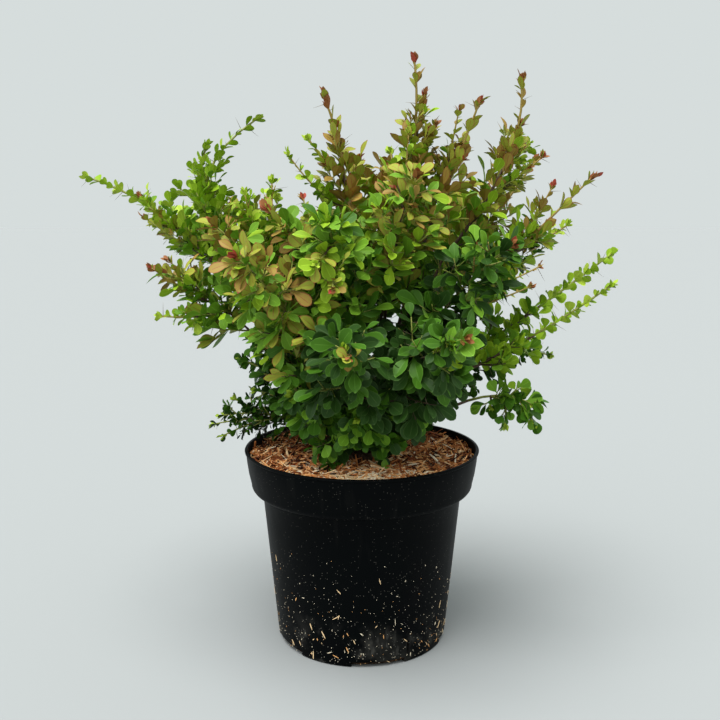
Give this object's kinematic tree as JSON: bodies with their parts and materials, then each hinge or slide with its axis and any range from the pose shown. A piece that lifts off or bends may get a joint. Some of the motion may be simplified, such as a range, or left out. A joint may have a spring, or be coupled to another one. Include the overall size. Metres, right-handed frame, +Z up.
{
  "type": "potted japanese barberry shrub",
  "caption": "Leafy thorny shrub with many arching shoots from one stool, standing in a round tapered black nursery pot topped with bark mulch.",
  "frame": {"origin": "middle of the pot's flat underside, on the ground", "axes": "+Z up along the pot's axis, -Y towards the side seen in the picture, +X to that viewer's right"},
  "size_m": [0.6491, 0.4939, 0.6843],
  "materials": {
    "pot": "moulded, slightly dusty",
    "root_ball": "rough, moist",
    "bark_mulch": "rough chips",
    "stem_bark": "grooved bark",
    "foliage": "soft sheen"
  },
  "bodies": {
    "root": {"pot": "pot", "root_ball": "root_ball", "bark_mulch": "bark_mulch", "stool": "stem_bark", "cane_back_left": "stem_bark", "cane_back_middle": "stem_bark", "cane_back_right": "stem_bark", "cane_back_top": "stem_bark", "cane_far_left": "stem_bark", "cane_far_right_lower": "stem_bark", "cane_far_right_upper": "stem_bark", "cane_front_high": "stem_bark", "cane_front_left": "stem_bark", "cane_front_middle": "stem_bark", "cane_front_right": "stem_bark", "cane_front_top": "stem_bark", "cane_left_body": "stem_bark", "cane_left_high_inner": "stem_bark", "cane_left_high_outer": "stem_bark", "cane_left_middle": "stem_bark", "cane_low_right": "stem_bark", "cane_peak_left": "stem_bark", "cane_peak_middle": "stem_bark", "cane_peak_right": "stem_bark", "cane_right_front": "stem_bark", "cane_right_high": "stem_bark", "cane_right_wide": "stem_bark", "cane_top_peak": "stem_bark", "foliage_back_left": "foliage", "foliage_back_low_left": "foliage", "foliage_back_low_right": "foliage", "foliage_back_middle": "foliage", "foliage_back_right": "foliage", "foliage_back_top": "foliage", "foliage_bottom_right": "foliage", "foliage_far_left": "foliage", "foliage_far_right_lower": "foliage", "foliage_far_right_upper": "foliage", "foliage_front_high": "foliage", "foliage_front_left": "foliage", "foliage_front_low": "foliage", "foliage_front_low_left": "foliage", "foliage_front_low_right": "foliage", "foliage_front_middle": "foliage", "foliage_front_right": "foliage", "foliage_front_top": "foliage", "foliage_left_body": "foliage", "foliage_left_high_inner": "foliage", "foliage_left_high_outer": "foliage", "foliage_left_low": "foliage", "foliage_left_middle": "foliage", "foliage_low_left": "foliage", "foliage_low_right": "foliage", "foliage_peak_left": "foliage", "foliage_peak_middle": "foliage", "foliage_peak_right": "foliage", "foliage_right_front": "foliage", "foliage_right_high": "foliage", "foliage_right_wide": "foliage", "foliage_top_peak": "foliage"}
  },
  "joints": []
}
